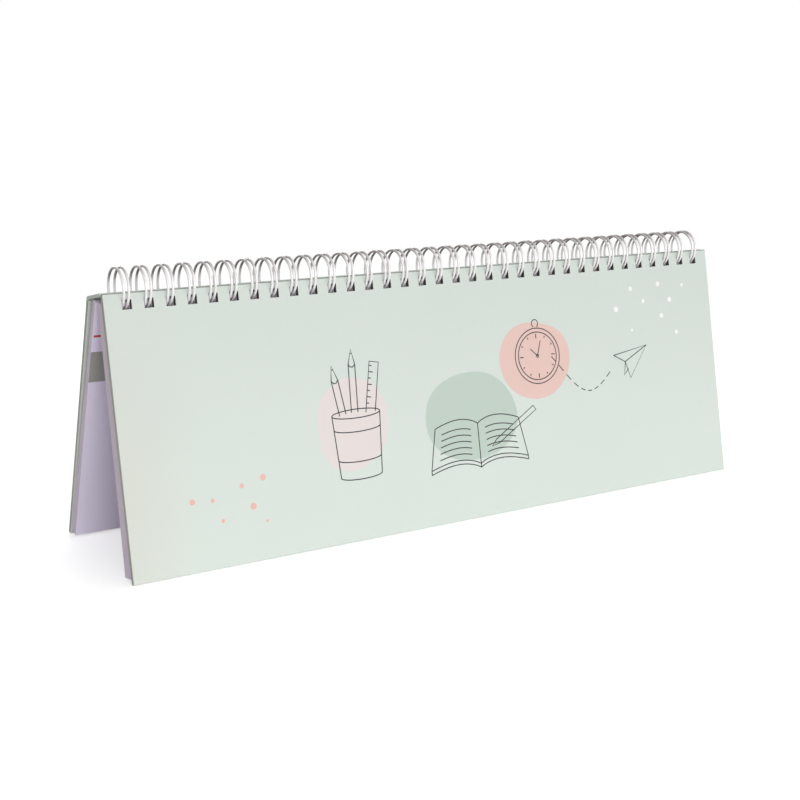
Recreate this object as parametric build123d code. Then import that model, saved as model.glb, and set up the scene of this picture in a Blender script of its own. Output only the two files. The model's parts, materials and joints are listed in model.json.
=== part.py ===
"""Tent desk calendar: a hard cover, loose leaves and a stand panel on one twin-loop binding wire.

Millimetres. +X runs along the binding, +Y points to the back and +Z is up. The calendar stands on
Z = 0, with the middle of its footprint at the origin. Sheets are placed from the ring's axis: "drop"
is measured down along the sheet, "depth" from its front towards the back.
"""

from build123d import *
from math import acos, asin, atan2, cos, degrees, floor, hypot, pi, radians, sin, sqrt
import os

# Covers: stiff board wrapped in printed paper, the paper turned in over the edges and lined inside
COVER_WIDTH = 297.0
COVER_HEIGHT = 105.0
FRONT_TILT = 11.0
BACK_TILT = 19.45
BOARD_THICKNESS = 1.6
WRAP_THICKNESS = 0.2
LINER_THICKNESS = 0.2
TURN_IN = 14.0
LINER_INSET = 3.0
FOOT_TRIM = 0.15

# Binding wire: one wire bent into hairpin loops and closed round the sheets
LOOP_PITCH = 25.4 / 3
LOOP_END_MARGIN = 8.0
WIRE_DIAMETER = 1.0
RING_DIAMETER = 16.9
STRAND_SPACING = 1.6
EDGE_BELOW_AXIS = 1.54
RING_BEFORE_FACE = 2.35
ROOT_CLEARANCE = 0.4
SEAM_GAP = 0.6

# Punched slots that the wire runs through; the sheets have slid to the right on it
SLOT_SIDE_GAP = 0.55
SLOT_LEFT_GAP = 0.15
SLOT_END_GAP = 0.2
LEAF_EDGE_MARGIN = 1.45
SPINE_EDGE_MARGIN = 0.8

# Spine: a narrow strip over the leaves, folded down into the stand panel
SPINE_BOARD = 0.8
SPINE_RISE = 0.5
SPINE_FRONT_GAP = 0.8
FOLD_GAP = 0.3
FOLD_LAP_ANGLE = 36.0
FOLD_LAP_GAP = 0.25

# Leaves: the front stack fills the ring from the cover to just past the ring's axis
FRONT_STACK_PAST_AXIS = 0.4
BACK_LEAVES = 8
LEAF_THICKNESS = 0.2
LEAF_GAP = 0.08
LEAF_SIDE_INSET = 0.3
FRONT_FOOT_INSET = 2.0
BACK_FOOT_RISE = 2.4
FRONT_FAN = 1.4
BACK_FAN = 1.2
STACK_CLEARANCE = 0.3

# Sizes that follow from those above
cover_thickness = BOARD_THICKNESS + 2 * WRAP_THICKNESS + LINER_THICKNESS
wrap_depth = cover_thickness - LINER_THICKNESS
spine_thickness = SPINE_BOARD + WRAP_THICKNESS + LINER_THICKNESS
wire_radius = WIRE_DIAMETER / 2
ring_radius = RING_DIAMETER / 2 - wire_radius
bend_radius = STRAND_SPACING / 2
slot_width = STRAND_SPACING + WIRE_DIAMETER + 2 * SLOT_SIDE_GAP
leaf_pitch = LEAF_THICKNESS + LEAF_GAP
leaf_width = COVER_WIDTH - 2 * LEAF_SIDE_INSET
loop_count = floor((COVER_WIDTH - 2 * LOOP_END_MARGIN) / LOOP_PITCH) + 1
loop_places = [(k - (loop_count - 1) / 2) * LOOP_PITCH for k in range(loop_count)]
wire_places = [x + SLOT_LEFT_GAP - SLOT_SIDE_GAP for x in loop_places]

# Drops and depths of the front leg, from the ring's axis
cover_top = EDGE_BELOW_AXIS
cover_foot = cover_top + COVER_HEIGHT
cover_face = RING_BEFORE_FACE - RING_DIAMETER / 2
cover_back = cover_face + cover_thickness
front_stack = cover_back + STACK_CLEARANCE
front_leaves = floor((FRONT_STACK_PAST_AXIS + LEAF_GAP - front_stack) / leaf_pitch)
front_stack_end = front_stack + front_leaves * leaf_pitch - LEAF_GAP
back_stack = front_stack_end + STACK_CLEARANCE
back_stack_end = back_stack + BACK_LEAVES * leaf_pitch - LEAF_GAP


def wire_span(across, clearance):
    """Where the wire passes a layer, along the layer: from the layer's two distances to the ring's axis."""
    reach = [sqrt(ring_radius**2 - place**2) for place in across]
    half = [wire_radius * ring_radius / place for place in reach]
    nearest = ring_radius if across[0] * across[1] < 0 else max(reach)
    low = min(place - width for place, width in zip(reach, half)) - clearance
    high = max([nearest + wire_radius] + [place + width for place, width in zip(reach, half)]) + clearance
    return low, high


# Slots in the cover and in both stacks of leaves, as drops
cover_slot = wire_span((cover_face, cover_back), SLOT_END_GAP)
slot_length = cover_slot[1] - cover_slot[0]
front_slot_top = wire_span((front_stack, front_stack_end), SLOT_END_GAP)[0]
back_slot_top = wire_span((back_stack, back_stack_end), SLOT_END_GAP)[0]

# Spine strip and fold, as drops and depths of the front leg
spine_top = cover_top - SPINE_RISE
spine_under = spine_top + spine_thickness
spine_front = cover_back + SPINE_FRONT_GAP
spine_slot = wire_span((spine_top, spine_under), STACK_CLEARANCE)
fold_radius = cover_thickness
fold_drop = spine_top + fold_radius
fold_depth = spine_slot[1] + SPINE_EDGE_MARGIN

# The ring's axis and the fold's axis above the floor, and the stand panel that reaches from the fold to it
front_lean = radians(FRONT_TILT)
back_lean = radians(BACK_TILT)
ring_z = cover_foot * cos(front_lean) + (cover_face + wrap_depth) * sin(front_lean) - FOOT_TRIM
fold_z = ring_z - fold_drop * cos(front_lean) - fold_depth * sin(front_lean)
stand_height = (fold_z + FOOT_TRIM + LINER_THICKNESS * sin(back_lean)) / cos(back_lean)
front_reach = cover_foot * sin(front_lean) - cover_face * cos(front_lean)
fold_behind_ring = fold_depth * cos(front_lean) - fold_drop * sin(front_lean)
back_reach = fold_behind_ring + stand_height * sin(back_lean) + cover_thickness * cos(back_lean)
ring_y = (front_reach - back_reach) / 2
fold_y = ring_y + fold_behind_ring

# The front leaves end near the floor, and the last back leaf leans on the stand panel with its lower edge
front_leaf_top = front_slot_top - LEAF_EDGE_MARGIN
front_leaf_foot = cover_foot - FRONT_FOOT_INSET
panel_drop = (fold_z - STACK_CLEARANCE * sin(back_lean) - BACK_FOOT_RISE) / cos(back_lean)
lean_point_y = fold_behind_ring + panel_drop * sin(back_lean) - STACK_CLEARANCE * cos(back_lean)
lean_point_drop = ring_z - BACK_FOOT_RISE
back_leaf_foot = sqrt(lean_point_y**2 + lean_point_drop**2 - back_stack_end**2)
leaf_lean = atan2(lean_point_y, lean_point_drop) - atan2(back_stack_end, back_leaf_foot)
turn_to_back = front_lean + leaf_lean
under_spine = (spine_under + STACK_CLEARANCE + back_stack_end * sin(turn_to_back)) / cos(turn_to_back)
back_leaf_top = max(back_slot_top - LEAF_EDGE_MARGIN, under_spine)


def hanging_plane(y, z, lean):
    """A plane through (y, z) with the axes +X, drop and depth, its foot leaning back by lean."""
    return Plane(origin=(0, y, z), x_dir=(1, 0, 0), z_dir=(0, cos(lean), sin(lean)))


front_leg = hanging_plane(ring_y, ring_z, -front_lean)
stand_leg = hanging_plane(fold_y, fold_z, back_lean)
end_section = Plane(
    origin=(-COVER_WIDTH / 2, ring_y, ring_z),
    x_dir=(0, cos(front_lean), -sin(front_lean)),
    z_dir=(1, 0, 0),
)


def slab(leg, width, drops, depths):
    """A plain block on a leg, centred along the binding."""
    middle = Pos(0, (drops[0] + drops[1]) / 2, (depths[0] + depths[1]) / 2)
    return leg.location * middle * Box(width, drops[1] - drops[0], depths[1] - depths[0])


def slot_row(leg, drops, depths):
    """The row of punches that cuts one slot for each loop."""
    middle_drop = (drops[0] + drops[1]) / 2
    middle_depth = (depths[0] + depths[1]) / 2
    punch = Box(slot_width, drops[1] - drops[0], depths[1] - depths[0])
    return [leg.location * Pos(x, middle_drop, middle_depth) * punch for x in loop_places]


def above_floor(solid):
    """Takes off what would lie below the floor, which leaves a narrow flat land to stand on."""
    room = 4 * COVER_WIDTH
    return solid - Pos(0, 0, -room / 2) * Box(room, room, room)


def covered_board(leg, drops, outer, inner):
    """Board, wrap and liner of one cover, from its outer face to its inner face."""
    inward = 1 if inner > outer else -1
    skin = outer + inward * WRAP_THICKNESS
    core = skin + inward * BOARD_THICKNESS
    lip = core + inward * WRAP_THICKNESS
    edge = (drops[0] + WRAP_THICKNESS, drops[1] - WRAP_THICKNESS)
    window = (drops[0] + TURN_IN, drops[1] - TURN_IN)
    lined = (drops[0] + LINER_INSET, drops[1] - LINER_INSET)
    board_width = COVER_WIDTH - 2 * WRAP_THICKNESS
    window_width = COVER_WIDTH - 2 * TURN_IN
    board = slab(leg, board_width, edge, sorted((skin, core)))
    opening = slab(leg, window_width, window, sorted((core, lip)))
    wrap = slab(leg, COVER_WIDTH, drops, sorted((outer, lip))) - board - opening
    liner = slab(leg, COVER_WIDTH - 2 * LINER_INSET, lined, sorted((lip, inner))) + opening
    return board, wrap, liner


def front_cover():
    """The hard front cover, punched for the wire along its top edge."""
    board, wrap, liner = covered_board(front_leg, (cover_top, cover_foot), cover_face, cover_back)
    punches = slot_row(front_leg, cover_slot, (cover_face - WIRE_DIAMETER, cover_back + WIRE_DIAMETER))
    return {
        "front_board": board - punches,
        "front_wrap": above_floor(wrap - punches),
        "front_liner": liner - punches,
    }


def fold_arc(outer, start, sweep):
    """One thickness of wrap bent round the fold, seen from the left end, between two angles."""
    reach = 2 * outer
    angles = [start, start + sweep / 2, start + sweep]
    corners = [(reach * cos(radians(a)), reach * sin(radians(a))) for a in angles]
    wedge = make_face(Polyline((0, 0), *corners, (0, 0)))
    return (Circle(outer) - Circle(outer - WRAP_THICKNESS)) & wedge


def stand_panel():
    """The stand panel behind the leaves, with the lap of its wrap that runs up inside the fold."""
    board, wrap, liner = covered_board(stand_leg, (0, stand_height), cover_thickness, 0)
    fold_section = Plane(
        origin=(-COVER_WIDTH / 2, fold_y, fold_z),
        x_dir=(0, cos(back_lean), sin(back_lean)),
        z_dir=(1, 0, 0),
    )
    lap_radius = fold_radius - WRAP_THICKNESS - FOLD_LAP_GAP
    root = degrees(asin(WRAP_THICKNESS / lap_radius))
    lap = extrude(fold_section * fold_arc(lap_radius, -root, FOLD_LAP_ANGLE + root), COVER_WIDTH)
    return {
        "stand_board": board,
        "stand_wrap": above_floor(wrap + (lap - board)),
        "stand_liner": liner,
    }


def spine():
    """The strip over the leaves, with the wrap that turns down round the fold."""
    board_front = spine_front + WRAP_THICKNESS
    board_top = spine_top + WRAP_THICKNESS
    board_under = board_top + SPINE_BOARD
    board_width = COVER_WIDTH - 2 * WRAP_THICKNESS
    punches = slot_row(front_leg, (spine_top - WIRE_DIAMETER, spine_under + WIRE_DIAMETER), spine_slot)
    board = slab(front_leg, board_width, (board_top, board_under), (board_front, fold_depth))
    liner = slab(front_leg, board_width, (board_under, spine_under), (board_front, fold_depth))
    outside = slab(front_leg, COVER_WIDTH, (spine_top, spine_under), (spine_front, fold_depth))
    fold_start = FRONT_TILT + BACK_TILT + degrees(FOLD_GAP / fold_radius)
    at_fold = end_section * Pos(fold_depth, -fold_drop)
    fold = extrude(at_fold * fold_arc(fold_radius, fold_start, 90 - fold_start), COVER_WIDTH)
    return {
        "spine_board": board - punches,
        "spine_wrap": (outside - board - liner + fold) - punches,
        "spine_liner": liner - punches,
    }


def leaf(top, foot, slot_top):
    """One leaf in its own plane, punched along its top edge."""
    sheet = Pos(0, (top + foot) / 2) * Rectangle(leaf_width, foot - top)
    punch = Rectangle(slot_width, slot_length)
    slots = [Pos(x, slot_top + slot_length / 2) * punch for x in loop_places]
    return extrude(sheet - slots, LEAF_THICKNESS)


def fanned(name, sheet, count, depth, lean, fan):
    """A stack of leaves from front to back, each hung from the ring and leaning back a little more."""
    step = radians(fan) / max(count - 1, 1)
    nodes = {}
    for k in range(count):
        leg = hanging_plane(ring_y, ring_z, lean + k * step)
        nodes[f"{name}_{k + 1:02d}"] = leg.location * Pos(0, 0, depth + k * leaf_pitch) * sheet
    return nodes


def leaves():
    """Both stacks of leaves: behind the cover, and against the stand panel."""
    front = leaf(front_leaf_top, front_leaf_foot, front_slot_top)
    back = leaf(back_leaf_top, back_leaf_foot, back_slot_top)
    first_back_lean = leaf_lean - radians(BACK_FAN)
    return {
        **fanned("front_leaf", front, front_leaves, front_stack, -front_lean, FRONT_FAN),
        **fanned("back_leaf", back, BACK_LEAVES, back_stack, first_back_lean, BACK_FAN),
    }


def wire_edges(places):
    """The wire's centre line: up one strand, round the hairpin, down the other and on to the next loop."""
    root_drop = spine_under + ROOT_CLEARANCE + wire_radius
    root = acos(root_drop / hypot(ring_radius, bend_radius)) + atan2(bend_radius, ring_radius)
    facing = 2 * bend_radius + WIRE_DIAMETER + SEAM_GAP
    tip = root - sqrt(facing**2 - (2 * bend_radius) ** 2) / ring_radius + radians(360)

    def on_ring(x, angle, along=0.0):
        drop = ring_radius * cos(angle) - along * sin(angle)
        depth = ring_radius * sin(angle) + along * cos(angle)
        return front_leg.from_local_coords(Vector(x, drop, depth))

    def strand(x, start, end):
        quarter = (end - start) / 4
        first = [on_ring(x, start + quarter * step) for step in range(3)]
        second = [on_ring(x, start + quarter * step) for step in range(2, 5)]
        return [Edge.make_three_point_arc(*first), Edge.make_three_point_arc(*second)]

    def root_bend(corner, inner):
        slack = bend_radius * (1 - sqrt(0.5))
        return on_ring(corner + slack * inner, root, -bend_radius + slack)

    edges = []
    for k, x in enumerate(places):
        left, right = x - bend_radius, x + bend_radius
        edges += strand(left, root, tip)
        hairpin = [on_ring(left, tip), on_ring(x, tip, bend_radius), on_ring(right, tip)]
        edges.append(Edge.make_three_point_arc(*hairpin))
        edges += strand(right, tip, root)
        if k + 1 < len(places):
            following = places[k + 1] - bend_radius
            leaving = on_ring(right + bend_radius, root, -bend_radius)
            arriving = on_ring(following - bend_radius, root, -bend_radius)
            down = [on_ring(right, root), root_bend(right, 1), leaving]
            up = [arriving, root_bend(following, -1), on_ring(following, root)]
            edges.append(Edge.make_three_point_arc(*down))
            edges.append(Edge.make_line(leaving, arriving))
            edges.append(Edge.make_three_point_arc(*up))
    return edges


def least_gap(edges, steps=24):
    """The smallest clear distance between stretches of the wire that aren't neighbours."""
    points = []
    travelled = 0.0
    for edge in edges:
        points += [(travelled + edge.length * s / steps, edge.position_at(s / steps)) for s in range(steps)]
        travelled += edge.length
    near = 4 * bend_radius
    pairs = (
        (p - q).length
        for i, (at, p) in enumerate(points)
        for after, q in points[i + 1 :]
        if after - at > near
    )
    return min(pairs) - WIRE_DIAMETER


def binding_wire():
    """The whole binding as one unbroken tube."""
    edges = wire_edges(wire_places)
    print("wire's least gap to itself", round(least_gap(wire_edges(wire_places[:3])), 3))
    path = Wire(edges)
    start = Plane(origin=path @ 0, z_dir=path % 0)
    tube = sweep(start * Circle(wire_radius), path=path)
    section = pi * wire_radius**2
    print("wire's length", round(path.length, 1), "volume over section", round(tube.volume / section, 1))
    return {"binding_wire": tube}


def main():
    os.makedirs("parts", exist_ok=True)
    heights = (stand_height, front_leaf_foot - front_leaf_top, back_leaf_foot - back_leaf_top)
    print("heights of stand panel, front leaves, back leaves", *(round(h, 2) for h in heights))
    print("ring axis", round(ring_y, 3), round(ring_z, 3), "fold axis", round(fold_y, 3), round(fold_z, 3))
    closing = degrees(turn_to_back) - FRONT_FAN - BACK_FAN
    print("degrees between the two stacks of leaves", round(closing, 2))
    nodes = {**spine(), **binding_wire(), **front_cover(), **stand_panel(), **leaves()}
    for name, solid in nodes.items():
        export_step(solid, f"parts/{name}.step")


main()
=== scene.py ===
"""Dresses a tent desk calendar: wrapped covers, a twin-loop wire, printed leaves and a plain studio.

Metres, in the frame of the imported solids: +X along the binding, +Y to the back, +Z up. A sheet is measured
by "across" (along the binding), "drop" (down the sheet from the axis that it hangs from) and "depth" (from
its front towards the back).
"""

import json
from math import acos, atan2, cos, hypot, pi, radians, sin, sqrt, tau

import bmesh
import bpy
from bpy.props import FloatProperty, FloatVectorProperty, IntProperty, PointerProperty
from mathutils import Matrix, Vector


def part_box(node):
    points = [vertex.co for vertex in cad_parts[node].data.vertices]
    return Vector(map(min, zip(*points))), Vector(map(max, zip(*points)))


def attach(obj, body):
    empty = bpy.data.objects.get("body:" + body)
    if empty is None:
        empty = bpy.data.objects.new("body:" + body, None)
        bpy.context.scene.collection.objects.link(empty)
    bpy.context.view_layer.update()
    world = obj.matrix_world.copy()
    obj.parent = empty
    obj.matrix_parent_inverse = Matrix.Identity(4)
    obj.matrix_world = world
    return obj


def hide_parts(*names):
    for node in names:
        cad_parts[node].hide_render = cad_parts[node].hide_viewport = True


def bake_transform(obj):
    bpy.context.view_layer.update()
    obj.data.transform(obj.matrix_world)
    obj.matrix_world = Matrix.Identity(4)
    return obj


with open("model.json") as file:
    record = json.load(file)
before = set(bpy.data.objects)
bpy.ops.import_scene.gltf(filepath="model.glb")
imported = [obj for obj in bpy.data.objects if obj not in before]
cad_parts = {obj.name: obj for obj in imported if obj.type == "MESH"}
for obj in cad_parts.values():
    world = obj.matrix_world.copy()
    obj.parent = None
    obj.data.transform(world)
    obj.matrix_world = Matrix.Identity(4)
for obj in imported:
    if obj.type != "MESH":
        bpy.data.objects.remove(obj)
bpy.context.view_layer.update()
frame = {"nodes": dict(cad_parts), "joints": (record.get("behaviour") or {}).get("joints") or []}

bl_info = {
    "name": "Tent Desk Calendar",
    "version": (1, 0, 0),
    "blender": (4, 5, 0),
    "location": "View3D > Sidebar > Calendar",
    "description": "Builds a wire-bound desk calendar around its packed solids",
    "category": "Object",
}

MM = 0.001

# Axes and tilts of the two legs
joints = {joint["name"]: joint for joint in frame["joints"]}
RING_AXIS = Vector(joints["front_cover_turn"]["pos_m"])
FOLD_AXIS = Vector(joints["stand_fold"]["pos_m"])
FRONT_TILT = radians(11.0)
BACK_TILT = radians(19.45)

# Covers, as drops and depths
cover_low, cover_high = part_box("front_wrap")
COVER_WIDTH = cover_high.x - cover_low.x
COVER_HEIGHT = 105 * MM
COVER_TOP = 1.54 * MM
COVER_FACE = -6.1 * MM
WRAP = 0.2 * MM
LINER = 0.2 * MM
BOARD = 1.6 * MM
CASE = BOARD + 2 * WRAP
FOOT_TRIM = 0.15 * MM
STAND_HEIGHT = (FOLD_AXIS.z + FOOT_TRIM + LINER * sin(BACK_TILT)) / cos(BACK_TILT)

# Wire, wider between its strands at the roots than at the hairpin tips
LOOP_PITCH = 25.4 / 3 * MM
LOOP_COUNT = 34
WIRE_RADIUS = 0.5 * MM
RING_RADIUS = 7.95 * MM
BEND_RADIUS = 0.8 * MM
ROOT_SPACING = 2.4 * MM
TIP_SPACING = 1.2 * MM
TAPER = 1.8
SEAM_GAP = 0.6 * MM
ROOT_CLEARANCE = 0.4 * MM
WIRE_SHIFT = -0.4 * MM
loop_places = [(k - (LOOP_COUNT - 1) / 2) * LOOP_PITCH for k in range(LOOP_COUNT)]

# Spine strip and fold
SPINE_RISE = 0.5 * MM
SPINE_TOP = COVER_TOP - SPINE_RISE
SPINE_THICKNESS = 1.2 * MM
SPINE_FRONT = -3.1 * MM
SPINE_EDGE_RADIUS = 0.25 * MM
FOLD_RADIUS = CASE + LINER
fold_drop = SPINE_TOP + FOLD_RADIUS
fold_end = FRONT_TILT + BACK_TILT

# Punched slots
SLOT_WIDTH = 3.7 * MM
COVER_SLOT_GAP = 0.2 * MM
SPINE_SLOT_GAP = 0.3 * MM
SPINE_SLOT_MARGIN = 0.8 * MM

# Leaves, and print that stands a little proud of its paper and a little in it
LEAF_THICKNESS = 0.2 * MM
INK_HEIGHT = 0.03 * MM
INK_SINK = 0.02 * MM
INK_THICKNESS = INK_HEIGHT + INK_SINK
INK_DEPTH = (INK_SINK - INK_HEIGHT) / 2

# Points nearer than this are one
SAME_PLACE = 1e-7


def wire_span(across, clearance):
    """Where the wire passes a layer, along the layer, from the layer's two distances to the ring's axis."""
    reach = [sqrt(RING_RADIUS**2 - place**2) for place in across]
    half = [WIRE_RADIUS * RING_RADIUS / place for place in reach]
    low = min(place - width for place, width in zip(reach, half))
    high = max([max(reach) + WIRE_RADIUS] + [place + width for place, width in zip(reach, half)])
    return low - clearance, high + clearance


cover_slot = wire_span((COVER_FACE, COVER_FACE + CASE + LINER), COVER_SLOT_GAP)
spine_slot = wire_span((SPINE_TOP, SPINE_TOP + SPINE_THICKNESS), SPINE_SLOT_GAP)
fold_depth = spine_slot[1] + SPINE_SLOT_MARGIN


def hanging(origin, lean):
    """Turns (across, drop, depth) on a sheet into the frame; the sheet's foot leans back by lean."""
    down = Vector((0, sin(lean), -cos(lean)))
    back = Vector((0, cos(lean), sin(lean)))
    turned = Matrix((Vector((1, 0, 0)), down, back)).transposed().to_4x4()
    return Matrix.Translation(origin) @ turned


front_leg = hanging(RING_AXIS, -FRONT_TILT)
stand_leg = hanging(FOLD_AXIS, BACK_TILT)
spine_leg = front_leg @ Matrix.Rotation(pi / 2, 4, "X")


def leaf_sheet(node):
    """The plane of a leaf, from the middle of its top edge on the front face, worked out from its box."""
    low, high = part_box(node)
    spread, height = high.y - low.y, high.z - low.z
    lean = atan2(spread, height)
    rounds = 4
    for _ in range(rounds):
        lean = atan2(spread - LEAF_THICKNESS * cos(lean), height - LEAF_THICKNESS * sin(lean))
    if node.startswith("back"):
        return hanging((0, low.y, high.z - LEAF_THICKNESS * sin(lean)), lean)
    return hanging((0, high.y - LEAF_THICKNESS * cos(lean), high.z), -lean)


def srgb(red, green, blue):
    """A colour as a screen shows it, from 0 to 255, in linear light."""
    shares = [part / 255 for part in (red, green, blue)]
    return tuple(s / 12.92 if s <= 0.04045 else ((s + 0.055) / 1.055) ** 2.4 for s in shares)


def size(name, description, default):
    """A length that can be set in the sidebar."""
    return FloatProperty(name=name, description=description, default=default, unit="LENGTH", precision=5)


def power(name, description, default):
    """A lamp's power that can be set in the sidebar."""
    return FloatProperty(name=name, description=description, default=default, unit="POWER")


def colour(name, description, *screen):
    """A colour that can be set in the sidebar."""
    return FloatVectorProperty(
        name=name, description=description, default=srgb(*screen), subtype="COLOR", size=3, min=0, max=1
    )


class CoverSettings(bpy.types.PropertyGroup):
    """Wrapped boards."""

    edge_radius: size("Edge radius", "Rounding of the wrapped edges", 0.35 * MM)
    mint: colour("Mint", "Cover paper over most of the width", 221, 230, 222)
    cream: colour("Cream", "Cover paper towards the left edge", 220, 223, 214)
    # Painted shade: the cover paper is mixed darker towards its top edge, where less light falls.
    dusk: colour("Dusk", "Cover paper towards the top edge", 210, 218, 212)
    # Grey of handling grime on the side edges, and of painted shade on the side edges and along the top
    # bevel.
    handled: colour("Handled edge", "Grey of the handled edges", 118, 118, 108)
    board: colour("Board", "Raw board inside the punched slots", 92, 88, 86)
    lining: colour("Lining", "Paper pasted inside the covers", 226, 227, 222)


class PrintSettings(bpy.types.PropertyGroup):
    """Print on the front cover."""

    ink: colour("Ink", "Thin drawn lines", 52, 52, 56)
    line_width: size("Line width", "Width of the drawn lines", 0.42 * MM)
    sage: colour("Sage", "Round patch behind the notebook", 190, 206, 194)
    coral: colour("Coral", "Round patch behind the clock, and dots at the lower left", 238, 190, 180)
    blush: colour("Blush", "Pale patch behind the pencil pot", 236, 222, 220)
    white: colour("White", "Dots at the upper right", 250, 251, 249)
    smallest_dot: size("Smallest dot", "Least radius of a dot", 0.5 * MM)
    largest_dot: size("Largest dot", "Greatest radius of a dot", 1.3 * MM)
    seed: IntProperty(name="Seed", description="Fixes where the dots fall", default=7)


class WireSettings(bpy.types.PropertyGroup):
    """Twin-loop binding wire."""

    sides: IntProperty(name="Sides", description="Faces round the wire", default=14, min=6)
    silver: colour("Silver", "Coating outside the loops", 246, 243, 243)
    # Painted shade over the loops' tops.
    dulled: colour("Dulled", "Coating over the loops' tops", 150, 138, 136)
    # Painted dark reflection and shade inside the loops' tops.
    steel: colour("Steel", "Rubbed steel inside the loops' tops", 96, 90, 88)


class LeafSettings(bpy.types.PropertyGroup):
    """Loose leaves."""

    paper: colour("Paper", "Uncoated leaf paper", 240, 232, 250)
    # Painted shade on the leaves' left and right edges, between the stacked sheets.
    cut: colour("Cut edge", "Greyer paper at the cut edges", 210, 195, 193)
    band: colour("Band", "Heading band across a leaf", 160, 160, 154)
    rule: colour("Rule", "Lines between the days", 205, 205, 206)
    number: colour("Numbers", "Day numbers", 96, 98, 100)
    mark: colour("Mark", "Short mark beside the heading", 190, 70, 74)
    number_size: size("Number size", "Height of the day numbers", 5.0 * MM)


class StageSettings(bpy.types.PropertyGroup):
    """Floor, light and camera."""

    floor: colour("Floor", "Plain pale floor", 240, 240, 240)
    floor_size: size("Floor size", "Side of the square floor", 12.0)
    key_power: power("Key power", "Large soft lamp, front left", 8.5)
    fill_power: power("Fill power", "Soft lamp, front right", 4.0)
    back_power: power("Back power", "Soft lamp behind", 7.0)
    ambient: FloatProperty(name="Ambient", description="Light from all round", default=0.36, min=0)


def math_node(operation, reflected=False):
    """An operator that adds a Math node; reflected where the value stands second."""

    def method(self, other):
        terms = (other, self) if reflected else (self, other)
        return self.nodes.sum(operation, *terms)

    return method


class Value:
    """One output of a node, for sums written as Python."""

    def __init__(self, nodes, socket):
        self.nodes = nodes
        self.socket = socket

    __add__ = __radd__ = math_node("ADD")
    __mul__ = __rmul__ = math_node("MULTIPLY")
    __sub__, __rsub__ = math_node("SUBTRACT"), math_node("SUBTRACT", True)
    __truediv__, __rtruediv__ = math_node("DIVIDE"), math_node("DIVIDE", True)
    __pow__, __rpow__ = math_node("POWER"), math_node("POWER", True)
    __lt__, __gt__ = math_node("LESS_THAN"), math_node("GREATER_THAN")

    def __abs__(self):
        return self.nodes.sum("ABSOLUTE", self)

    def beside(self, output):
        """Another output of the same node."""
        return Value(self.nodes, self.socket.node.outputs[output])

    def step(self, low, high):
        """0 below low, 1 above high and smooth between."""
        limits = {"Value": self, "From Min": low, "From Max": high}
        return self.nodes.add("ShaderNodeMapRange", {"interpolation_type": "SMOOTHSTEP"}, limits)


class Nodes:
    """One node tree, and the method that adds nodes to it."""

    def __init__(self, tree):
        self.tree = tree

    def fill(self, node, inputs):
        """Sets or links a node's sockets; a list gives one socket several links."""
        for key, value in inputs.items():
            socket = node.inputs[key]
            for item in value if isinstance(value, list) else [value]:
                if isinstance(item, Value):
                    self.tree.links.new(item.socket, socket)
                elif socket.type == "RGBA":
                    socket.default_value = (*item, 1)
                else:
                    socket.default_value = item

    def add(self, kind, settings, inputs, output=0):
        """Adds a node: its type, its settings, and the values or links of its sockets."""
        node = self.tree.nodes.new(kind)
        for key, value in settings.items():
            setattr(node, key, value)
        self.fill(node, inputs)
        return Value(self, node.outputs[output])

    def sum(self, operation, *terms):
        return self.add("ShaderNodeMath", {"operation": operation}, dict(enumerate(terms)))


class Paint(Nodes):
    """One material and the nodes that make it."""

    def __init__(self, name):
        self.material = bpy.data.materials.new(name)
        self.material.use_nodes = True
        super().__init__(self.material.node_tree)
        self.shader = self.tree.nodes["Principled BSDF"]

    def mix(self, share, first, second):
        """A colour between two colours; in a Mix node 6 and 7 take colours, and 2 gives one."""
        return self.add("ShaderNodeMix", {"data_type": "RGBA"}, {0: share, 6: first, 7: second}, 2)

    def spot(self, leg=None):
        """The point on the piece, or on its sheet where a leg is given."""
        place = self.add("ShaderNodeTexCoord", {}, {}, "Object")
        if leg is None:
            return place
        turn = leg.inverted()
        turned = {"Vector": place, "Location": turn.translation, "Rotation": turn.to_euler()}
        return self.add("ShaderNodeMapping", {}, turned)

    def split(self, place):
        """Across, drop and depth of a point."""
        first = self.add("ShaderNodeSeparateXYZ", {}, {"Vector": place})
        return first, first.beside(1), first.beside(2)

    def noise(self, place, scale, detail=2.0, roughness=0.5):
        """Noise of so many repeats a metre, or of three scales where it is stretched."""
        if isinstance(scale, tuple):
            place = self.add("ShaderNodeMapping", {}, {"Vector": place, "Scale": scale})
            scale = 1.0
        inputs = {"Vector": place, "Scale": scale, "Detail": detail, "Roughness": roughness}
        return self.add("ShaderNodeTexNoise", {}, inputs)

    def relief(self, height, strength, distance):
        inputs = {"Strength": strength, "Distance": distance, "Height": height}
        return self.add("ShaderNodeBump", {}, inputs)

    def finish(self, **inputs):
        """Sets the surface shader's sockets, named with underscores, and returns the material."""
        self.fill(self.shader, {key.replace("_", " "): value for key, value in inputs.items()})
        return self.material


def darker(shade, factor):
    return tuple(part * factor for part in shade)


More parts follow.
